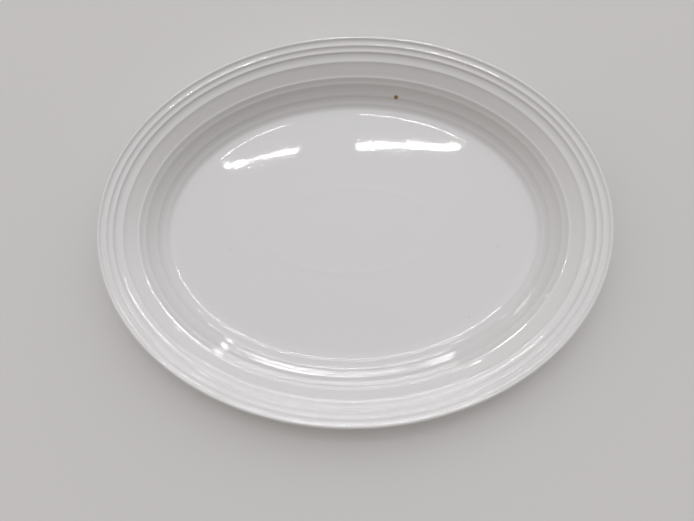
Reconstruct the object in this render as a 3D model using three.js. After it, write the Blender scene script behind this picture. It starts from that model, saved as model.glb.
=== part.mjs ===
// An oval serving platter of glazed white earthenware, with a ribbed rim that
// steps down in seven hollows and a cove to a flat well. Millimetres, +Z up, +X
// along the length. The origin is the middle of the plane that the foot rests on.

import * as THREE from 'three';

// The outline over the lip, and how many straight steps go round an oval.
const LENGTH = 410;
const WIDTH = 316;
const STEPS_ROUND = 60;

// The coat of glaze, and the strip left bare above every face that could
// touch the kiln shelf.
const GLAZE = 0.4;
const BARE_STRIP = 0.8;

// The lip is a round bead. Its shoulder is where the bead gives way to the
// first hollow inside and to the underside below, as an angle from its top.
const LIP_RADIUS = 1.9;
const LIP_SHOULDER = THREE.MathUtils.degToRad(28);
const LIP_STEPS = 6;

// The hollows between the crests of the face, from the lip to the well: how far
// each runs inwards, how far it falls, how deep it is scooped below a straight
// slope, how much of its bend lies at its two ends, where 2 is an even arc, and
// where its deepest place lies, where 1 is the middle and less is nearer the lip.
// The fourth is the broad band of the rim and the sixth is the steep wall. The
// last two are the cove, which eases out on to the floor of the well.
const HOLLOWS = [
  { run: 5.1, fall: 1.7, scoop: 0.72, bend: 2, lead: 0.65 },
  { run: 4.5, fall: 1.9, scoop: 0.72, bend: 2, lead: 0.65 },
  { run: 6.8, fall: 3.3, scoop: 0.9, bend: 2, lead: 0.55 },
  { run: 10.7, fall: 6.4, scoop: 0.55, bend: 6, lead: 1 },
  { run: 4.1, fall: 3.5, scoop: 0.36, bend: 2, lead: 0.8 },
  { run: 7.1, fall: 6.5, scoop: 0.5, bend: 2, lead: 0.8 },
  { run: 5.8, fall: 4.2, scoop: 0.52, bend: 2, lead: 0.85 },
  { run: 5.1, fall: 2.2, scoop: 0.41, bend: 2, lead: 1 },
  { run: 5.8, fall: 0.3, scoop: 0.075, bend: 2, lead: 1 },
];
const STEPS_PER_HOLLOW = 3;

// The thickness of the ware at the edge of the well, where it is greatest.
// Towards the lip it thins evenly to the thickness of the bead.
const WELL_THICKNESS = 6;
const UNDERSIDE_STEPS = 8;

// The foot ring: how far in from the outline the middle of its base runs, how
// high it lifts the floor, how wide its bare base is, and how far each of its
// sides leans over its height. It stands under the cove.
const FOOT_INSET = 56.4;
const FOOT_HEIGHT = 3;
const FOOT_BASE = 4.6;
const FOOT_LEAN = 1.2;

// The oval support ring inside the foot ring keeps the floor from sagging in
// the kiln. It stops short of the resting plane, so the platter can't rock.
const SUPPORT_LENGTH = 146;
const SUPPORT_WIDTH = 73;
const SUPPORT_BASE = 3.6;
const SUPPORT_LEAN = 0.9;
const SUPPORT_CLEARANCE = 0.4;

const CLAY_COLOUR = 0xe6e0d4;
const CLAY_ROUGHNESS = 0.85;
const GLAZE_COLOUR = 0xefedea;
const GLAZE_ROUGHNESS = 0.12;

// Heights that follow from the sizes above.
const totalFall = HOLLOWS.reduce((sum, hollow) => sum + hollow.fall, 0);
const floorHeight = FOOT_HEIGHT + WELL_THICKNESS;
const shoulderHeight = floorHeight + totalFall;
const lipHeight = shoulderHeight - LIP_RADIUS * Math.cos(LIP_SHOULDER);

// One oval level of the platter: half its length, half its width, its height.
// An inset is measured inwards from the outline, the same all the way round.
const oval = (halfLength, halfWidth, z) => ({ a: halfLength, b: halfWidth, z });
const inset = (distance, z) => oval(LENGTH / 2 - distance, WIDTH / 2 - distance, z);
const centre = (z) => oval(0, 0, z);

// A point on the round of the lip, by its angle from the top towards the outside.
function lipLevel(angle) {
  const across = LIP_RADIUS * (1 - Math.sin(angle));
  return inset(across, lipHeight + LIP_RADIUS * Math.cos(angle));
}

function lipLevels() {
  const levels = [];
  const sweep = Math.PI + 2 * LIP_SHOULDER;
  for (let i = 0; i <= LIP_STEPS; i += 1) {
    levels.push(lipLevel((sweep * i) / LIP_STEPS - LIP_SHOULDER));
  }
  return levels;
}

// The crests of the face, from the shoulder of the lip to the edge of the well.
function crestPoints() {
  const start = { distance: LIP_RADIUS * (1 + Math.sin(LIP_SHOULDER)), z: shoulderHeight };
  const crests = [start];
  for (const hollow of HOLLOWS) {
    const last = crests[crests.length - 1];
    crests.push({ distance: last.distance + hollow.run, z: last.z - hollow.fall });
  }
  return crests;
}

// The levels inside each hollow, where a shallow arc hangs below the straight
// slope from one crest to the next, given from the well out to the lip.
function faceLevels() {
  const crests = crestPoints();
  const levels = [];
  for (let h = HOLLOWS.length - 1; h >= 0; h -= 1) {
    for (let i = STEPS_PER_HOLLOW; i > 0; i -= 1) {
      const { run, fall, scoop, bend, lead } = HOLLOWS[h];
      const share = i / STEPS_PER_HOLLOW;
      const sag = scoop * (1 - Math.abs(2 * share ** lead - 1) ** bend);
      const z = crests[h].z - fall * share - sag;
      levels.push(inset(crests[h].distance + run * share, z));
    }
  }
  return levels;
}

// The bare base of each ring narrows towards the ground, so a side's distance
// out from the middle of the base grows with its height above it.
const sideOut = (base, lean, ringHeight, height) => base / 2 + (lean * height) / ringHeight;

const footSide = (out, height) => (
  FOOT_INSET - out * sideOut(FOOT_BASE, FOOT_LEAN, FOOT_HEIGHT, height)
);
const footLevel = (out, height) => inset(footSide(out, height), height);

const supportHeight = FOOT_HEIGHT - SUPPORT_CLEARANCE;

function supportLevel(out, height) {
  const side = out * sideOut(SUPPORT_BASE, SUPPORT_LEAN, supportHeight, height);
  return oval(SUPPORT_LENGTH / 2 + side, SUPPORT_WIDTH / 2 + side, height + SUPPORT_CLEARANCE);
}

// The underside is one smooth curve from the lip to the foot. It passes below
// every second crest, square to the slope there.
function undersideLevels() {
  const crests = crestPoints();
  const wellEdge = crests[HOLLOWS.length].distance;
  const guide = [new THREE.Vector2(crests[0].distance, lipLevel(Math.PI + LIP_SHOULDER).z)];
  for (let i = 1; i < crests.length - 1; i += 2) {
    const run = crests[i + 1].distance - crests[i - 1].distance;
    const fall = crests[i - 1].z - crests[i + 1].z;
    const slope = Math.atan2(fall, run);
    const share = crests[i].distance / wellEdge;
    const thickness = THREE.MathUtils.lerp(2 * LIP_RADIUS, WELL_THICKNESS, share);
    guide.push(new THREE.Vector2(
      crests[i].distance - thickness * Math.sin(slope),
      crests[i].z - thickness * Math.cos(slope),
    ));
  }
  guide.push(new THREE.Vector2(footSide(1, FOOT_HEIGHT), FOOT_HEIGHT));
  const curve = new THREE.SplineCurve(guide).getSpacedPoints(UNDERSIDE_STEPS);
  return curve.slice(1).map((point) => inset(point.x, point.y));
}

// The three glazed surfaces, each as a run of oval levels with the ware on its
// right-hand side: the face, lip and outer underside; the underside between the
// two rings; and the underside inside the support ring.
const faceSurface = [
  centre(floorHeight),
  ...faceLevels(),
  ...lipLevels(),
  ...undersideLevels(),
  footLevel(1, BARE_STRIP),
];
const wellSurface = [
  footLevel(-1, BARE_STRIP),
  footLevel(-1, FOOT_HEIGHT),
  supportLevel(1, supportHeight),
  supportLevel(1, BARE_STRIP),
];
const innerSurface = [
  supportLevel(-1, BARE_STRIP),
  supportLevel(-1, supportHeight),
  centre(FOOT_HEIGHT),
];

// The clay surface under a glazed one, one coat of glaze further in.
function underGlaze(levels) {
  const normal = (from, to) => {
    const along = new THREE.Vector2(to.a - from.a, to.z - from.z).normalize();
    return new THREE.Vector2(along.y, -along.x);
  };
  return levels.map((level, i) => {
    const before = normal(levels[Math.max(i - 1, 0)], levels[Math.max(i, 1)]);
    const last = levels.length - 1;
    const after = normal(levels[Math.min(i, last - 1)], levels[Math.min(i + 1, last)]);
    const mitre = before.clone().add(after).multiplyScalar(GLAZE / (1 + before.dot(after)));
    if (level.a === 0) return centre(level.z + mitre.y);
    return oval(level.a + mitre.x, level.b + mitre.x, level.z + mitre.y);
  });
}

const faceClay = underGlaze(faceSurface);
const wellClay = underGlaze(wellSurface);
const innerClay = underGlaze(innerSurface);

// A closed solid from a run of oval levels. A run that starts and ends on the
// axis is closed by its two centres, and any other run closes on itself.
function ovalSolid(levels) {
  const positions = [];
  const indices = [];
  const rings = levels.map((level) => {
    const first = positions.length / 3;
    const count = level.a === 0 ? 1 : STEPS_ROUND;
    for (let i = 0; i < count; i += 1) {
      const turn = (2 * Math.PI * i) / STEPS_ROUND;
      positions.push(level.a * Math.cos(turn), level.b * Math.sin(turn), level.z);
    }
    return (i) => first + (i % count);
  });
  const corner = (index) => new THREE.Vector3().fromArray(positions, 3 * index);
  const gap = (p, q) => corner(p).distanceToSquared(corner(q));

  const closesOnItself = levels[0].a !== 0;
  const bands = closesOnItself ? rings.length : rings.length - 1;
  for (let k = 0; k < bands; k += 1) {
    const here = rings[k];
    const next = rings[(k + 1) % rings.length];
    for (let i = 0; i < STEPS_ROUND; i += 1) {
      const quad = [here(i), next(i), next(i + 1), here(i + 1)];
      if (quad[0] === quad[3]) indices.push(quad[0], quad[1], quad[2]);
      else if (quad[1] === quad[2]) indices.push(quad[0], quad[1], quad[3]);
      else if (gap(quad[0], quad[2]) < gap(quad[1], quad[3])) {
        indices.push(quad[0], quad[1], quad[2], quad[0], quad[2], quad[3]);
      } else {
        indices.push(quad[0], quad[1], quad[3], quad[1], quad[2], quad[3]);
      }
    }
  }

  const geometry = new THREE.BufferGeometry();
  geometry.setAttribute('position', new THREE.Float32BufferAttribute(positions, 3));
  geometry.setIndex(indices);
  geometry.computeVertexNormals();
  return geometry;
}

const clay = new THREE.MeshStandardMaterial({
  color: CLAY_COLOUR,
  roughness: CLAY_ROUGHNESS,
  metalness: 0,
});
const glaze = new THREE.MeshStandardMaterial({
  color: GLAZE_COLOUR,
  roughness: GLAZE_ROUGHNESS,
  metalness: 0,
});

const platter = new THREE.Group();

function addPiece(name, levels, material) {
  const piece = new THREE.Mesh(ovalSolid(levels), material);
  piece.name = name;
  platter.add(piece);
}

// The clay body, pressed and turned in one piece. Its only bare faces are the
// bases of the foot ring and of the support ring.
addPiece('clay_body', [
  ...faceClay,
  footLevel(1, 0),
  footLevel(-1, 0),
  ...wellClay,
  supportLevel(1, 0),
  supportLevel(-1, 0),
  ...innerClay,
], clay);

// The coats of glaze, which the bare bases of the two rings part from each other.
addPiece('glaze_face_and_rim', [...faceSurface, ...faceClay.toReversed()], glaze);
addPiece('glaze_under_well', [...wellSurface, ...wellClay.toReversed()], glaze);
addPiece('glaze_inside_support_ring', [...innerClay.toReversed(), ...innerSurface], glaze);

export default platter;
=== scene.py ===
import math

import bmesh
import bpy
from mathutils import Matrix, Vector


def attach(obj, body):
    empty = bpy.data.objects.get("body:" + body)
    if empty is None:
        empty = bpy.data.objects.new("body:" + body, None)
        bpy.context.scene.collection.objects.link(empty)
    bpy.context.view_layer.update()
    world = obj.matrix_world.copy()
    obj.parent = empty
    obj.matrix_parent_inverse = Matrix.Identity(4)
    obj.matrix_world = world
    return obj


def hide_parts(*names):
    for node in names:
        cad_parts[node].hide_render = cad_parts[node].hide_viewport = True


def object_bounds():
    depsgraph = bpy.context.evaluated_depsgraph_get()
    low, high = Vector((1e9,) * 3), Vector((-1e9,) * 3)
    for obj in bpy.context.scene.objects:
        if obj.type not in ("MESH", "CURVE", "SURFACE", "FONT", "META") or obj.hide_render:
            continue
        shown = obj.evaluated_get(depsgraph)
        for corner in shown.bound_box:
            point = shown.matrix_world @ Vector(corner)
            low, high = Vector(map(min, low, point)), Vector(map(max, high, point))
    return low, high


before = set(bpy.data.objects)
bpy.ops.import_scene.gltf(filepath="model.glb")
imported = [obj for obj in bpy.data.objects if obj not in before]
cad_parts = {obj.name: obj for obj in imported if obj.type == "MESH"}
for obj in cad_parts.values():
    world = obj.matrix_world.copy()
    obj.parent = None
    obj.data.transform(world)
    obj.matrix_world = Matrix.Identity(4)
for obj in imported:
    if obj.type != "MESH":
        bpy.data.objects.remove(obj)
cad_low, cad_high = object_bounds()


# Clay body
# One pressed and turned piece of white earthenware: flat well, cove, ribbed rim, foot ring
# and an oval support ring. It is bare only on the bases of the two rings, which stood on
# the kiln shelf, and everywhere else it lies under the glaze.

# Sizes in this file are millimetres unless a line says otherwise.
MM = 0.001
HALF_LENGTH = cad_high.x / MM
HALF_WIDTH = cad_high.y / MM
STEPS_ROUND = 320

GLAZE = 0.4
WELL_THICKNESS = 6

# Both rings have a flat base, and their sides lean out from there to the root. The bare
# strip runs a little way up the sides, and the support ring stays just clear of the table.
BARE_STRIP = 0.8
FOOT_INSET = 56.4
FOOT_HEIGHT = 3
FOOT_BASE = 4.6
FOOT_LEAN = 1.2
SUPPORT_HALF_LENGTH = 73
SUPPORT_HALF_WIDTH = 36.5
SUPPORT_BASE = 3.6
SUPPORT_LEAN = 0.9
SUPPORT_CLEARANCE = 0.4

# The lip is round in section, and its round starts this angle inside its top.
LIP_RADIUS = 1.9
LIP_SHOULDER = math.radians(28)

# Each hollow between two crests of the face, from the lip to the well: how far it runs
# inwards, how far it falls, how deep it is scooped below a straight slope, how much of its
# bend lies at its two ends, where 2 is an even arc, and where its deepest place lies,
# where 1 is the middle and less is nearer the lip.
HOLLOWS = (
    (5.1, 1.7, 0.72, 2, 0.65),
    (4.5, 1.9, 0.72, 2, 0.65),
    (6.8, 3.3, 0.90, 2, 0.55),
    (10.7, 6.4, 0.55, 6, 1),
    (4.1, 3.5, 0.36, 2, 0.8),
    (7.1, 6.5, 0.50, 2, 0.8),
    (5.8, 4.2, 0.52, 2, 0.85),
    (5.1, 2.2, 0.41, 2, 1),
    (5.8, 0.3, 0.075, 2, 1),
)
STEPS_PER_HOLLOW = 96

floor_height = FOOT_HEIGHT + WELL_THICKNESS
shoulder_height = floor_height + sum(fall for run, fall, scoop, bend, lead in HOLLOWS)
lip_height = shoulder_height - LIP_RADIUS * math.cos(LIP_SHOULDER)

crests = [(LIP_RADIUS * (1 + math.sin(LIP_SHOULDER)), shoulder_height)]
for run, fall, scoop, bend, lead in HOLLOWS:
    crests.append((crests[-1][0] + run, crests[-1][1] - fall))
well_edge = crests[-1][0]
support_height = FOOT_HEIGHT - SUPPORT_CLEARANCE


def inset(distance, z):
    """A level of the platter, as half its length, half its width and its height."""
    return (HALF_LENGTH - distance, HALF_WIDTH - distance, z)


def side_out(base, lean, ring_height, height):
    """How far a ring's leaning side is from the middle of its base at a height."""
    return base / 2 + lean * height / ring_height


def foot_side(out, height):
    """How far in from the outline the foot's outer side, 1, or inner side, -1, is."""
    return FOOT_INSET - out * side_out(FOOT_BASE, FOOT_LEAN, FOOT_HEIGHT, height)


def foot_level(out, height):
    return inset(foot_side(out, height), height)


def support_level(out, height):
    side = out * side_out(SUPPORT_BASE, SUPPORT_LEAN, support_height, height)
    return (SUPPORT_HALF_LENGTH + side, SUPPORT_HALF_WIDTH + side, height + SUPPORT_CLEARANCE)


def lip_point(angle):
    """A point on the round of the lip, by its angle from the top towards the outside."""
    return (LIP_RADIUS * (1 - math.sin(angle)), lip_height + LIP_RADIUS * math.cos(angle))


def smooth_curve(guide, steps):
    """A Catmull-Rom curve through guide points, each a pair."""
    ends = [guide[0], *guide, guide[-1]]
    points = []
    for i in range(len(guide) - 1):
        p0, p1, p2, p3 = (Vector(p) for p in ends[i:i + 4])
        for step in range(steps):
            t = step / steps
            points.append(0.5 * (
                2 * p1 + (p2 - p0) * t
                + (2 * p0 - 5 * p1 + 4 * p2 - p3) * t ** 2
                + (3 * p1 - p0 - 3 * p2 + p3) * t ** 3
            ))
    return [tuple(p) for p in points] + [tuple(guide[-1])]


def even_steps(points, spacing):
    """The same line of pairs with its points a given distance apart."""
    lengths = [0.0]
    for p, q in zip(points, points[1:]):
        lengths.append(lengths[-1] + math.dist(p, q))
    count = max(1, round(lengths[-1] / spacing))
    even, k = [], 0
    for i in range(count + 1):
        at = lengths[-1] * i / count
        while k < len(points) - 2 and lengths[k + 1] < at:
            k += 1
        share = (at - lengths[k]) / max(lengths[k + 1] - lengths[k], 1e-9)
        even.append(tuple(Vector(points[k]).lerp(Vector(points[k + 1]), share)))
    return even


def softened(points, spacing, reach):
    """Points a given spacing apart, each moved to the weighted mean of those near it."""
    width = round(3 * reach / spacing)
    weights = [math.exp(-0.5 * (i * spacing / reach) ** 2) for i in range(-width, width + 1)]
    soft = []
    for i in range(len(points)):
        near = min(width, i, len(points) - 1 - i)
        chosen = weights[width - near:width + near + 1]
        around = points[i - near:i + near + 1]
        total = sum(chosen)
        soft.append(tuple(
            sum(w * p[axis] for w, p in zip(chosen, around)) / total for axis in (0, 1)
        ))
    return soft


# The line of the glazed face from the edge of the well up to the lip. Fine steps are
# softened the way that melted glaze rounds a crisp crest.
FINE_STEP = 0.2
CREST_SOFTNESS = 0.3
face_line = []
for (distance, z), hollow in reversed(list(zip(crests, HOLLOWS))):
    run, fall, scoop, bend, lead = hollow
    for step in range(STEPS_PER_HOLLOW, 0, -1):
        s = step / STEPS_PER_HOLLOW
        sag = scoop * (1 - abs(2 * s ** lead - 1) ** bend)
        face_line.append((distance + run * s, z - fall * s - sag))
LIP_STEPS = 24
lip_sweep = math.pi + 2 * LIP_SHOULDER
lip_line = [lip_point(lip_sweep * i / LIP_STEPS - LIP_SHOULDER) for i in range(LIP_STEPS + 1)]

# The underside follows the face at the thickness of the ware, which grows towards the well.
UNDER_STEPS = 12
under_guide = [lip_line[-1]]
for i in range(1, len(crests) - 1, 2):
    run = crests[i + 1][0] - crests[i - 1][0]
    fall = crests[i - 1][1] - crests[i + 1][1]
    slope = math.atan2(fall, run)
    share = crests[i][0] / well_edge
    thickness = 2 * LIP_RADIUS * (1 - share) + WELL_THICKNESS * share
    under_guide.append((
        crests[i][0] - thickness * math.sin(slope),
        crests[i][1] - thickness * math.cos(slope),
    ))
under_guide.append((foot_side(1, FOOT_HEIGHT), FOOT_HEIGHT))
under_line = smooth_curve(under_guide, UNDER_STEPS)

# The whole glazed line: a short flat of the well, the face, the lip, the underside, and
# the side of the foot ring down to where the glaze was wiped off.
FLAT_START = 6
whole_line = [
    (well_edge + FLAT_START, floor_height),
    *face_line,
    *lip_line,
    *under_line[1:],
    (foot_side(1, BARE_STRIP), BARE_STRIP),
]
fine_line = softened(even_steps(whole_line, FINE_STEP), FINE_STEP, CREST_SOFTNESS)

# The levels kept of that line are close together on the ribs and round the lip, until this
# far past the outermost point, and further apart underneath.
RIB_SPACING = 0.6
UNDER_SPACING = 2
LIP_RETURN = 4
lip_end = min(range(len(fine_line)), key=lambda i: fine_line[i][0])
lip_end += round(LIP_RETURN / FINE_STEP)
kept = fine_line[:lip_end:round(RIB_SPACING / FINE_STEP)]
kept += fine_line[lip_end:-1:round(UNDER_SPACING / FINE_STEP)]
kept.append(fine_line[-1])

# The floor of the well, from its middle out. The support ring beneath shows through as a
# faint oval, because the floor sank a little on both sides of it in the kiln.
GHOST_HALF_SPAN = 6
GHOST_STEP = 0.75
GHOST_RISE = 0.1
GHOST_SOFTNESS = 1.8
INNER_FLOOR_STEPS = 22
OUTER_FLOOR_STEPS = 26


def floor_levels():
    """The levels of the floor of the well, as far as the first level kept of the face."""
    levels = [(0, 0, floor_height)]
    inner = (SUPPORT_HALF_LENGTH - GHOST_HALF_SPAN, SUPPORT_HALF_WIDTH - GHOST_HALF_SPAN)
    for i in range(1, INNER_FLOOR_STEPS):
        s = i / INNER_FLOOR_STEPS
        levels.append((inner[0] * s, inner[1] * s, floor_height))
    for i in range(round(2 * GHOST_HALF_SPAN / GHOST_STEP) + 1):
        out = i * GHOST_STEP - GHOST_HALF_SPAN
        rise = GHOST_RISE * math.exp(-0.5 * (out / GHOST_SOFTNESS) ** 2)
        levels.append((SUPPORT_HALF_LENGTH + out, SUPPORT_HALF_WIDTH + out, floor_height + rise))
    start = Vector(levels[-1])
    end = Vector(inset(*kept[0]))
    for i in range(1, OUTER_FLOOR_STEPS):
        levels.append(tuple(start.lerp(end, i / OUTER_FLOOR_STEPS)))
    return levels


face_surface = floor_levels() + [inset(*p) for p in kept]

# The glazed surfaces underneath: one goes up the inner side of the foot ring, across, and
# down the outer side of the support ring, and the other lies within the support ring.
EDGE_ROUND = 0.2
FOOT_SIDE_STEPS = 4
UNDER_WELL_STEPS = 12
INNER_STEPS = 8


def support_side(out):
    """The levels of one glazed side of the support ring, from its root down."""
    return [
        support_level(out, support_height),
        support_level(out, support_height - EDGE_ROUND),
        support_level(out, (support_height + BARE_STRIP) / 2),
        support_level(out, BARE_STRIP),
    ]


well_surface = []
for i in range(FOOT_SIDE_STEPS):
    height = BARE_STRIP + (FOOT_HEIGHT - BARE_STRIP) * i / FOOT_SIDE_STEPS
    well_surface.append(foot_level(-1, height))
well_surface.append(foot_level(-1, FOOT_HEIGHT - EDGE_ROUND))
foot_root = Vector(foot_level(-1, FOOT_HEIGHT))
support_root = Vector(support_level(1, support_height))
for i in range(UNDER_WELL_STEPS):
    well_surface.append(tuple(foot_root.lerp(support_root, i / UNDER_WELL_STEPS)))
well_surface += support_side(1)

inner_surface = support_side(-1)[::-1]
for i in range(1, INNER_STEPS):
    a, b, z = support_level(-1, support_height)
    inner_surface.append((a * (1 - i / INNER_STEPS), b * (1 - i / INNER_STEPS), z))
inner_surface.append((0, 0, FOOT_HEIGHT))


def under_glaze(levels):
    """The clay surface under a glazed one, with the ware on the right of the line."""
    def normal(p, q):
        along = Vector((q[0] - p[0], q[2] - p[2])).normalized()
        return Vector((along.y, -along.x))

    clay = []
    last = len(levels) - 1
    for i, (a, b, z) in enumerate(levels):
        before = normal(levels[max(i - 1, 0)], levels[max(i, 1)])
        after = normal(levels[min(i, last - 1)], levels[min(i + 1, last)])
        move = (before + after) * GLAZE / (1 + before.dot(after))
        if a == 0:
            clay.append((0, 0, z + move.y))
        else:
            clay.append((a + move.x, b + move.x, z + move.y))
    return clay


CLAY_STRIDE = 3
face_clay = under_glaze([
    face_surface[0], *[inset(*p) for p in kept[::CLAY_STRIDE]], inset(*kept[-1]),
])
well_clay = under_glaze([
    well_surface[0], foot_level(-1, FOOT_HEIGHT),
    support_level(1, support_height), well_surface[-1],
])
inner_clay = under_glaze([
    inner_surface[0], support_level(-1, support_height), inner_surface[-1],
])


def add_node(tree, kind, inputs=None, **settings):
    """Adds a node, with its settings, and its inputs as values or as sockets to link."""
    node = tree.nodes.new(kind)
    for name, value in settings.items():
        setattr(node, name, value)
    for name, value in (inputs or {}).items():
        if isinstance(value, bpy.types.NodeSocket):
            tree.links.new(value, node.inputs[name])
        else:
            node.inputs[name].default_value = value
    return node


# Points this close together are made one.
WELD = 0.001


def ware_tree():
    """Carries a line of levels round an oval. A vertex of the line holds half a level's
    length, half its width and its height, and the attribute wavy says where the surface
    may swell."""
    tree = bpy.data.node_groups.new("ware_from_levels", "GeometryNodeTree")
    sockets = {}
    for name, kind in (
        ("Levels", "Geometry"),
        ("Steps round", "Int"),
        ("Wave height", "Float"),
        ("Wave length", "Float"),
        ("Seed", "Float"),
        ("Material", "Material"),
    ):
        socket = tree.interface.new_socket(name, in_out="INPUT", socket_type="NodeSocket" + kind)
        sockets[name] = socket.identifier
    tree.interface.new_socket("Ware", in_out="OUTPUT", socket_type="NodeSocketGeometry")
    given = add_node(tree, "NodeGroupInput").outputs

    place = add_node(tree, "GeometryNodeInputPosition").outputs["Position"]
    line = add_node(tree, "GeometryNodeMeshToCurve", {"Mesh": given["Levels"]})
    level = add_node(tree, "GeometryNodeCaptureAttribute", {"Geometry": line.outputs["Curve"]})
    level.capture_items.new("VECTOR", "Level")
    tree.links.new(place, level.inputs["Level"])

    circle = add_node(tree, "GeometryNodeCurvePrimitiveCircle", {
        "Resolution": given["Steps round"], "Radius": 1.0,
    }, mode="RADIUS")
    turn = add_node(tree, "GeometryNodeCaptureAttribute", {"Geometry": circle.outputs["Curve"]})
    turn.capture_items.new("VECTOR", "Turn")
    tree.links.new(place, turn.inputs["Turn"])

    swept = add_node(tree, "GeometryNodeCurveToMesh", {
        "Curve": turn.outputs["Geometry"], "Profile Curve": level.outputs["Geometry"],
    })
    level_axes = add_node(tree, "ShaderNodeSeparateXYZ", {"Vector": level.outputs["Level"]})
    round_place = add_node(tree, "ShaderNodeCombineXYZ", {
        "X": level_axes.outputs["X"], "Y": level_axes.outputs["Y"], "Z": 0.0,
    })
    on_oval = add_node(tree, "ShaderNodeVectorMath", {
        0: round_place.outputs["Vector"], 1: turn.outputs["Turn"],
    }, operation="MULTIPLY")
    height = add_node(tree, "ShaderNodeCombineXYZ", {"Z": level_axes.outputs["Z"]})
    target = add_node(tree, "ShaderNodeVectorMath", {
        0: on_oval.outputs["Vector"], 1: height.outputs["Vector"],
    }, operation="ADD")
    shaped = add_node(tree, "GeometryNodeSetPosition", {
        "Geometry": swept.outputs["Mesh"], "Position": target.outputs["Vector"],
    })

    frequency = add_node(tree, "ShaderNodeMath", {
        0: 1.0, 1: given["Wave length"],
    }, operation="DIVIDE")
    waves = add_node(tree, "ShaderNodeTexNoise", {
        "Vector": place, "W": given["Seed"], "Scale": frequency.outputs["Value"],
        "Detail": 1.0, "Roughness": 0.4,
    }, noise_dimensions="4D")
    centred = add_node(tree, "ShaderNodeMath", {
        0: waves.outputs["Fac"], 1: 0.5,
    }, operation="SUBTRACT")
    where = add_node(tree, "GeometryNodeInputNamedAttribute", {"Name": "wavy"})
    masked = add_node(tree, "ShaderNodeMath", {
        0: centred.outputs["Value"], 1: where.outputs["Attribute"],
    }, operation="MULTIPLY")
    swell = add_node(tree, "ShaderNodeMath", {
        0: masked.outputs["Value"], 1: given["Wave height"],
    }, operation="MULTIPLY")
    lift = add_node(tree, "ShaderNodeCombineXYZ", {"Z": swell.outputs["Value"]})
    waved = add_node(tree, "GeometryNodeSetPosition", {
        "Geometry": shaped.outputs["Geometry"], "Offset": lift.outputs["Vector"],
    })

    welded = add_node(tree, "GeometryNodeMergeByDistance", {
        "Geometry": waved.outputs["Geometry"], "Distance": WELD * MM,
    })
    smooth = add_node(tree, "GeometryNodeSetShadeSmooth", {
        "Geometry": welded.outputs["Geometry"], "Shade Smooth": True,
    })
    real = add_node(tree, "GeometryNodeRealizeInstances", {"Geometry": smooth.outputs[0]})
    dressed = add_node(tree, "GeometryNodeSetMaterial", {
        "Geometry": real.outputs["Geometry"], "Material": given["Material"],
    })
    add_node(tree, "NodeGroupOutput", {"Ware": dressed.outputs["Geometry"]})
    return tree, sockets


ware, ware_sockets = ware_tree()

# The slow waves of the glazed face: how far apart they are, how much the highest and the
# lowest differ at most, and which of all such patterns it is.
WAVE_LENGTH = 26
WAVE_HEIGHT = 0.16
WAVE_SEED = 3.0


def turned_piece(name, levels, closed, material, traits=None, wave_height=0.0):
    """A finished piece from its levels, as a plain mesh with its faces outward. Traits are
    attributes that have a value for each level."""
    line = bpy.data.meshes.new(name + "_levels")
    count = len(levels)
    edges = [(i, (i + 1) % count) for i in range(count if closed else count - 1)]
    line.from_pydata([[v * MM for v in level] for level in levels], edges, [])
    for attribute, values in (traits or {}).items():
        layer = line.attributes.new(attribute, "FLOAT", "POINT")
        layer.data.foreach_set("value", values)
    maker = bpy.data.objects.new(name + "_maker", line)
    bpy.context.scene.collection.objects.link(maker)
    modifier = maker.modifiers.new("ware", "NODES")
    modifier.node_group = ware
    for socket, value in (
        ("Steps round", STEPS_ROUND),
        ("Wave height", wave_height * MM),
        ("Wave length", WAVE_LENGTH * MM),
        ("Seed", WAVE_SEED),
        ("Material", material),
    ):
        modifier[ware_sockets[socket]] = value
    depsgraph = bpy.context.evaluated_depsgraph_get()
    mesh = bpy.data.meshes.new_from_object(
        maker.evaluated_get(depsgraph), preserve_all_data_layers=True, depsgraph=depsgraph
    )
    maker.modifiers.remove(modifier)
    bpy.data.objects.remove(maker)

    work = bmesh.new()
    work.from_mesh(mesh)
    bmesh.ops.recalc_face_normals(work, faces=work.faces)
    work.to_mesh(mesh)
    work.free()
    mesh.name = name
    piece = bpy.data.objects.new(name, mesh)
    bpy.context.scene.collection.objects.link(piece)
    return piece


def linear(hex_colour):
    """An sRGB hex colour as the linear values that a shader takes."""
    channels = [int(hex_colour[i:i + 2], 16) / 255 for i in (1, 3, 5)]
    return [c / 12.92 if c <= 0.04045 else ((c + 0.055) / 1.055) ** 2.4 for c in channels] + [1]


def new_material(name):
    """An empty material and its tree, with Object coordinates in millimetres."""
    material = bpy.data.materials.new(name)
    material.use_nodes = True
    tree = material.node_tree
    tree.nodes.clear()
    place = add_node(tree, "ShaderNodeTexCoord").outputs["Object"]
    scaled = add_node(tree, "ShaderNodeVectorMath", {
        0: place, "Scale": 1 / MM,
    }, operation="SCALE")
    return material, tree, scaled.outputs["Vector"]


# White earthenware, fired bare and wiped with a sponge: matt, warm, and grainy when close,
# with stains where it took up damp. The grain is drawn coarser than it is, so that it shows.
CLAY_COLOUR = "#d8cfbe"
CLAY_STAIN = "#b9ab93"
CLAY_GRAIN = 0.5
CLAY_GRAIN_HEIGHT = 0.05
CLAY_BLOTCH = 18


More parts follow.
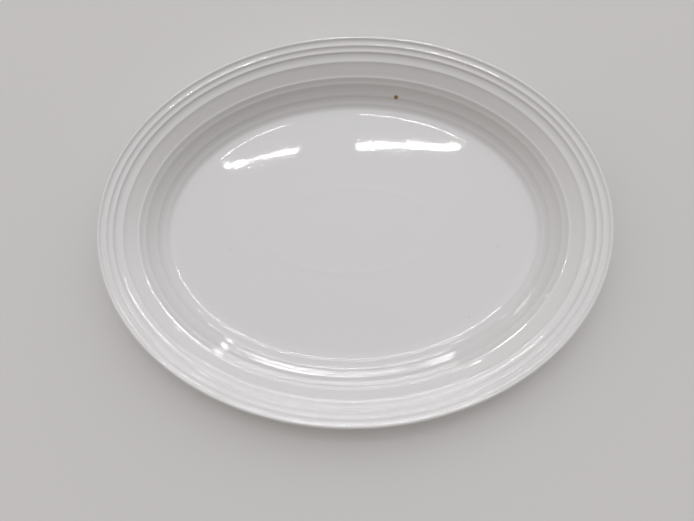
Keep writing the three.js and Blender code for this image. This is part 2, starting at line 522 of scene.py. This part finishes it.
def bare_earthenware():
    material, tree, place = new_material("bare_fired_earthenware")
    grain = add_node(tree, "ShaderNodeTexNoise", {
        "Vector": place, "Scale": 1 / CLAY_GRAIN, "Detail": 3.0, "Roughness": 0.6,
    })
    blotch = add_node(tree, "ShaderNodeTexNoise", {
        "Vector": place, "Scale": 1 / CLAY_BLOTCH, "Detail": 4.0, "Roughness": 0.6,
    })
    stain = add_node(tree, "ShaderNodeMapRange", {
        "Value": blotch.outputs["Fac"], "From Min": 0.45, "From Max": 0.75,
        "To Min": 0.0, "To Max": 0.6,
    })
    colour = add_node(tree, "ShaderNodeMix", {
        "Factor": stain.outputs["Result"], 6: linear(CLAY_COLOUR), 7: linear(CLAY_STAIN),
    }, data_type="RGBA")
    bump = add_node(tree, "ShaderNodeBump", {
        "Height": grain.outputs["Fac"], "Distance": CLAY_GRAIN_HEIGHT * MM, "Strength": 0.8,
    })
    surface = add_node(tree, "ShaderNodeBsdfPrincipled", {
        "Base Color": colour.outputs[2], "Roughness": 0.85, "IOR": 1.45,
        "Normal": bump.outputs["Normal"],
    })
    add_node(tree, "ShaderNodeOutputMaterial", {"Surface": surface.outputs["BSDF"]})
    return material


clay_levels = [
    *face_clay,
    foot_level(1, 0),
    foot_level(-1, 0),
    *well_clay,
    support_level(1, 0),
    support_level(-1, 0),
    *inner_clay,
]
clay_piece = turned_piece("bare_clay_body", clay_levels, False, bare_earthenware())
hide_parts("clay_body")
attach(clay_piece, "root")


# Glaze over face, lip and outer underside
# A glassy coat, poured on and fired onto the clay. It swells a little over the floor and
# stops just above the bare base of the foot. Its white is darker in the hollows and on the
# steep wall, where the glaze pools and where painted shade lies, and lighter on the crests,
# where the glaze thins and where painted light lies.

# White glaze, fired to a gloss: the eye gets sharp mirror lines of the lamps and windows,
# bent by every hollow, over a white that is a little darker where the coat is thick, which
# is also painted shade in the hollows and on the steep wall, and lighter on the crests as
# painted light. That white drifts slowly from place to place.
GLAZE_POOLED_AND_SHADED = "#d9d9d9"
GLAZE_THIN_AND_LIT = "#e6e5e5"
GLAZE_TINT = "#dfdfde"
GLAZE_ROUGHNESS = 0.04
GLAZE_IOR = 1.5
TINT_LENGTH = 70

# The melt left a low peel on the floor of the well. It comes in over this run inwards from
# the edge of the well, and this share of it is left on the rest of the face.
PEEL_LENGTH = 11
PEEL_HEIGHT = 0.055
PEEL_RUN = 5.2
PEEL_ON_RIM = 0.03

# Fine ripples from turning show through the glaze of the rim. They come in between the
# first two of these distances in from the outline, and die out between the last two.
RIPPLE_LENGTH = 2.05
RIPPLE_HEIGHT = 0.008
RIPPLE_FADES = (3.0, 22.0, 49.0, 54.0)

# A small glaze flaw shows brown on the upper wall, and pinholes show as specks. Each is
# its place on the platter and its radius. The softness is the share of the radius over
# which a spot fades, and the flaw's edge strays by up to CHIP_RAGGED.
CHIP_COLOUR = "#96763a"
CHIP_SOFTNESS = 0.5
CHIP_RAGGED = 1.2
CHIP = ((41.0, 114.2, 16.6), 2.3)
SPECK_COLOUR = "#8f8a82"
SPECK_SOFTNESS = 0.7
SPECKS = (
    ((-103.4, -15.0, 9.0), 0.5),
    ((149.9, -7.9, 9.5), 0.6),
    ((122.5, -15.7, 9.0), 0.5),
    ((115.3, -65.5, 9.0), 0.5),
    ((96.2, -74.2, 9.0), 0.5),
)


def spot(tree, place, centre, radius, softness):
    """One inside a small round spot on the surface, and nought outside it."""
    distance = add_node(tree, "ShaderNodeVectorMath", {
        0: place, 1: centre,
    }, operation="DISTANCE")
    return add_node(tree, "ShaderNodeMapRange", {
        "Value": distance.outputs["Value"],
        "From Min": radius * (1 - softness), "From Max": radius, "To Min": 1.0, "To Max": 0.0,
    }, interpolation_type="SMOOTHSTEP").outputs["Result"]


def white_glaze():
    material, tree, place = new_material("fired_white_glaze")
    # Darker where the glaze pools and as painted shade, in the hollows and on the steep wall,
    # and lighter on the crests as painted light.
    pooled_and_shaded = add_node(tree, "ShaderNodeAttribute", attribute_name="pooled_and_shaded").outputs["Fac"]
    pooled_and_shaded_share = add_node(tree, "ShaderNodeMapRange", {
        "Value": pooled_and_shaded, "From Min": -1.0, "From Max": 1.0,
    })
    by_pooled_and_shaded = add_node(tree, "ShaderNodeMix", {
        "Factor": pooled_and_shaded_share.outputs["Result"], 6: linear(GLAZE_THIN_AND_LIT), 7: linear(GLAZE_POOLED_AND_SHADED),
    }, data_type="RGBA")
    cloud = add_node(tree, "ShaderNodeTexNoise", {
        "Vector": place, "Scale": 1 / TINT_LENGTH, "Detail": 3.0, "Roughness": 0.5,
    })
    tinted = add_node(tree, "ShaderNodeMix", {
        "Factor": cloud.outputs["Fac"], 6: by_pooled_and_shaded.outputs[2], 7: linear(GLAZE_TINT),
    }, data_type="RGBA")

    ragged = add_node(tree, "ShaderNodeTexNoise", {
        "Vector": place, "Scale": 1.0, "Detail": 2.0,
    })
    shifted = add_node(tree, "ShaderNodeVectorMath", {
        0: ragged.outputs["Color"], 1: (CHIP_RAGGED, CHIP_RAGGED, CHIP_RAGGED), 2: place,
    }, operation="MULTIPLY_ADD")
    colour = add_node(tree, "ShaderNodeMix", {
        "Factor": spot(tree, shifted.outputs["Vector"], *CHIP, CHIP_SOFTNESS),
        6: tinted.outputs[2], 7: linear(CHIP_COLOUR),
    }, data_type="RGBA")
    for centre, radius in SPECKS:
        colour = add_node(tree, "ShaderNodeMix", {
            "Factor": spot(tree, place, centre, radius, SPECK_SOFTNESS),
            6: colour.outputs[2], 7: linear(SPECK_COLOUR),
        }, data_type="RGBA")

    peel = add_node(tree, "ShaderNodeTexNoise", {
        "Vector": place, "Scale": 1 / PEEL_LENGTH, "Detail": 3.0, "Roughness": 0.6,
    })
    inwards = add_node(tree, "ShaderNodeAttribute", attribute_name="inwards").outputs["Fac"]
    on_floor = add_node(tree, "ShaderNodeMapRange", {
        "Value": inwards, "From Min": well_edge, "From Max": well_edge + PEEL_RUN,
        "To Min": PEEL_ON_RIM, "To Max": 1.0,
    })
    peel_centred = add_node(tree, "ShaderNodeMath", {
        0: peel.outputs["Fac"], 1: 0.5,
    }, operation="SUBTRACT")
    peel_height = add_node(tree, "ShaderNodeMath", {
        0: peel_centred.outputs["Value"], 1: on_floor.outputs["Result"],
    }, operation="MULTIPLY")
    peeled = add_node(tree, "ShaderNodeBump", {
        "Height": peel_height.outputs["Value"], "Distance": PEEL_HEIGHT * MM, "Strength": 1.0,
    })
    phase = add_node(tree, "ShaderNodeMath", {
        0: inwards, 1: 2 * math.pi / RIPPLE_LENGTH,
    }, operation="MULTIPLY")
    ripple = add_node(tree, "ShaderNodeMath", {0: phase.outputs["Value"]}, operation="SINE")
    fade_in = add_node(tree, "ShaderNodeMapRange", {
        "Value": inwards, "From Min": RIPPLE_FADES[0], "From Max": RIPPLE_FADES[1],
    })
    fade_out = add_node(tree, "ShaderNodeMapRange", {
        "Value": inwards, "From Min": RIPPLE_FADES[3], "From Max": RIPPLE_FADES[2],
    })
    shown = add_node(tree, "ShaderNodeMath", {
        0: fade_in.outputs["Result"], 1: fade_out.outputs["Result"],
    }, operation="MULTIPLY")
    ripples = add_node(tree, "ShaderNodeMath", {
        0: ripple.outputs["Value"], 1: shown.outputs["Value"],
    }, operation="MULTIPLY")
    bump = add_node(tree, "ShaderNodeBump", {
        "Height": ripples.outputs["Value"], "Distance": RIPPLE_HEIGHT * MM, "Strength": 1.0,
        "Normal": peeled.outputs["Normal"],
    })
    surface = add_node(tree, "ShaderNodeBsdfPrincipled", {
        "Base Color": colour.outputs[2], "Roughness": GLAZE_ROUGHNESS, "IOR": GLAZE_IOR,
        "Normal": bump.outputs["Normal"],
    })
    add_node(tree, "ShaderNodeOutputMaterial", {"Surface": surface.outputs["BSDF"]})
    return material


glaze = white_glaze()

# Each level of the face says how far inwards of the outline it lies and how much it may
# swell, which fades out over a few levels where the lip begins.
face_coat_levels = [*face_surface, *reversed(face_clay)]
floor_count = len(face_surface) - len(kept)
inwards = [0.0] * len(face_coat_levels)
wavy = [0.0] * len(face_coat_levels)
shoulder_index = min(range(len(kept)), key=lambda i: abs(kept[i][0] - crests[0][0]))
for i in range(floor_count + shoulder_index):
    inwards[i] = kept[max(0, i - floor_count)][0]
    wavy[i] = 1.0
WAVE_FADE_LEVELS = 5
for i in range(WAVE_FADE_LEVELS):
    wavy[floor_count + shoulder_index + i] = 1 - i / WAVE_FADE_LEVELS

# It also says how dark its white is drawn, from -1, thin glaze and painted light, on the
# crests and the upper rim, to 1, pooled glaze and painted shade, in the hollows and on the
# steep wall. A hollow counts in full where it lies HOLLOW_FULL_DEPTH below the mean of the
# levels around it. The wall counts between its top and its foot.
HOLLOW_REACH = 6
HOLLOW_FULL_DEPTH = 0.5
POOL_AND_SHADE_BY_HOLLOW = 0.4
POOL_AND_SHADE_BY_WALL = 0.6
WALL_TOP = 30
WALL_TOP_FADE = 2
WALL_FOOT = 51
WALL_FOOT_FADE = 6


def within(low, value, high):
    return max(low, min(high, value))


pooled_and_shaded = [0.0] * len(face_coat_levels)
for i in range(HOLLOW_REACH, shoulder_index + HOLLOW_REACH):
    around = kept[i - HOLLOW_REACH:i + HOLLOW_REACH + 1]
    mean = sum(p[1] for p in around) / len(around)
    distance, z = kept[i]
    by_hollow = within(-1.0, (mean - z) / HOLLOW_FULL_DEPTH, 1.0)
    by_wall = within(-1.0, (distance - WALL_TOP) / WALL_TOP_FADE, 1.0)
    by_wall *= within(0.0, (WALL_FOOT - distance) / WALL_FOOT_FADE, 1.0)
    pooled_and_shaded[floor_count + i] = POOL_AND_SHADE_BY_HOLLOW * by_hollow + POOL_AND_SHADE_BY_WALL * by_wall

face_piece = turned_piece(
    "glaze_over_face_and_rim", face_coat_levels, False, glaze,
    {"wavy": wavy, "pooled_and_shaded": pooled_and_shaded, "inwards": inwards}, WAVE_HEIGHT,
)
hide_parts("glaze_face_and_rim")
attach(face_piece, "root")


# Glaze under the well
# The same coat on the underside, between the foot ring and the support ring. It was poured
# in before the firing and wiped off the base of each ring.

under_piece = turned_piece(
    "glaze_under_the_well", [*well_surface, *reversed(well_clay)], True, glaze
)
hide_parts("glaze_under_well")
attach(under_piece, "root")


# Glaze inside the support ring
# The same coat on the underside, within the support ring. It was poured in before the
# firing and stops just above the ring's bare base.

middle_piece = turned_piece(
    "glaze_in_the_support_ring", [*reversed(inner_clay), *inner_surface], False, glaze
)
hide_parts("glaze_inside_support_ring")
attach(middle_piece, "root")


# Floor, light and camera
# A plain pale floor under the foot ring, a soft surround that is brightest overhead, two
# narrow tubes, and strips that stand in for the far windows and ceiling lights.

# Matt uncoated paper, which takes the platter's soft shadow and mirrors nothing.
FLOOR_COLOUR = "#dcdbda"
FLOOR_HALF_SIZE = 3000

floor_mesh = bpy.data.meshes.new("floor")
reach = FLOOR_HALF_SIZE * MM
floor_mesh.from_pydata(
    [(-reach, -reach, 0), (reach, -reach, 0), (reach, reach, 0), (-reach, reach, 0)],
    [], [(0, 1, 2, 3)],
)
floor_material, floor_tree = new_material("plain_paper")[:2]
floor_surface = add_node(floor_tree, "ShaderNodeBsdfPrincipled", {
    "Base Color": linear(FLOOR_COLOUR), "Roughness": 0.9,
})
add_node(floor_tree, "ShaderNodeOutputMaterial", {"Surface": floor_surface.outputs["BSDF"]})
floor_mesh.materials.append(floor_material)
floor = bpy.data.objects.new("floor", floor_mesh)
bpy.context.scene.collection.objects.link(floor)

WELL_MIDDLE = Vector((0, 0, floor_height))


def add_lamp(name, start, end, width, brightness):
    """A flat strip lamp between two places, facing the well of the platter."""
    start, end = Vector(start), Vector(end)
    along = (end - start).normalized()
    away = (start + end) / 2 - WELL_MIDDLE
    facing = (away - away.project(along)).normalized()
    light = bpy.data.lights.new(name, "AREA")
    light.shape = "RECTANGLE"
    light.size = (end - start).length * MM
    light.size_y = width * MM
    light.energy = brightness * math.pi * light.size * light.size_y
    lamp = bpy.data.objects.new(name, light)
    lamp.location = (start + end) / 2 * MM
    lamp.rotation_euler = Matrix((along, facing.cross(along), facing)).transposed().to_euler()
    bpy.context.scene.collection.objects.link(lamp)
    return lamp


# The tubes light the platter, and the glaze mirrors them as the two long streaks in the well
# and the thin arcs above those. The strips are seen in the glaze alone, mostly as the fine
# lines along the near wall, and light nothing.
add_lamp("tube_left", (-826, 858, 2509), (-394, 949, 2509), 11, 90)
add_lamp("tube_right", (-37, 964, 2509), (547, 930, 2509), 11, 90)
for name, start, end, width, brightness in (
    ("ceiling_strip_near", (-235, 1015, 1945), (520, 905, 1945), 58, 40),
    ("ceiling_strip_far", (-370, 1590, 1465), (440, 1290, 1465), 40, 48),
    ("window_bar_upper", (-435, 1890, 1040), (665, 1825, 1040), 40, 20),
    ("window_bar_middle", (-460, 1990, 833), (495, 1980, 833), 40, 20),
    ("window_bar_lower", (-480, 2080, 541), (590, 2050, 541), 46, 20),
    ("left_window_upper", (-1295, 1490, 970), (-805, 1805, 970), 30, 9),
    ("left_window_lower", (-1400, 1610, 540), (-870, 1950, 540), 30, 12),
    ("right_window_side", (510, 1975, 835), (550, 2120, 200), 50, 12),
):
    add_lamp(name, start, end, width, brightness).visible_diffuse = False

# The surround is dim, with four broad glows above the horizon: a strong one nearly
# overhead, a faint one beyond the far side, and one low down to the left and one to the
# right. Each is its tilt from straight up, its bearing from the far side towards the right,
# both in degrees, its strength, and how narrow it is.
SURROUND_WARM = "#ffe8d2"
SURROUND_COOL = "#fafbff"
SURROUND_BASE = 0.07
GLOWS = (
    (19, 0, 1.52, 6),
    (55, 20, 0.30, 5),
    (60, -84, 0.68, 4),
    (60, 60, 0.68, 4),
)
world = bpy.data.worlds.new("soft_surround")
world.use_nodes = True
sky = world.node_tree
sky.nodes.clear()
towards = add_node(sky, "ShaderNodeTexCoord").outputs["Generated"]
strength = SURROUND_BASE
for tilt, bearing, peak, narrowness in GLOWS:
    up, level = math.cos(math.radians(tilt)), math.sin(math.radians(tilt))
    right, far = math.sin(math.radians(bearing)), math.cos(math.radians(bearing))
    facing = add_node(sky, "ShaderNodeVectorMath", {
        0: towards, 1: (level * right, level * far, up),
    }, operation="DOT_PRODUCT")
    above = add_node(sky, "ShaderNodeMath", {
        0: facing.outputs["Value"], 1: 0.0,
    }, operation="MAXIMUM")
    glow = add_node(sky, "ShaderNodeMath", {
        0: above.outputs["Value"], 1: narrowness,
    }, operation="POWER")
    strength = add_node(sky, "ShaderNodeMath", {
        0: glow.outputs["Value"], 1: peak, 2: strength,
    }, operation="MULTIPLY_ADD").outputs["Value"]
sky_colour = add_node(sky, "ShaderNodeMix", {
    "Factor": strength, 6: linear(SURROUND_WARM), 7: linear(SURROUND_COOL),
}, data_type="RGBA")
background = add_node(sky, "ShaderNodeBackground", {
    "Color": sky_colour.outputs[2], "Strength": strength,
})
add_node(sky, "ShaderNodeOutputWorld", {"Surface": background.outputs["Background"]})
bpy.context.scene.world = world

# The camera looks at the middle of the rim's plane from in front of the platter's face,
# turned a little about each of its own axes, and stands off by these distances.
IMAGE_WIDTH = 694
FOCAL_PIXELS = 521
SENSOR_WIDTH = 36
NEAREST_SEEN = 10
TURN_DOWN = math.radians(-7.06)
TURN_SIDE = math.radians(-2.64)
ROLL = math.radians(0.98)
STAND_OFF = Vector((-2.0, -29.1, 413.3))
camera_data = bpy.data.cameras.new("camera")
camera_data.sensor_width = SENSOR_WIDTH
camera_data.lens = SENSOR_WIDTH * FOCAL_PIXELS / IMAGE_WIDTH
camera_data.clip_start = NEAREST_SEEN * MM
camera = bpy.data.objects.new("camera", camera_data)
turn = (
    Matrix.Rotation(TURN_SIDE, 3, "Y")
    @ Matrix.Rotation(TURN_DOWN, 3, "X")
    @ Matrix.Rotation(ROLL, 3, "Z")
)
back = turn.transposed()
camera.location = (back @ STAND_OFF + Vector((0, 0, lip_height))) * MM
camera.rotation_euler = back.to_euler()
bpy.context.scene.collection.objects.link(camera)
bpy.context.scene.camera = camera
bpy.context.scene.view_settings.view_transform = "Standard"
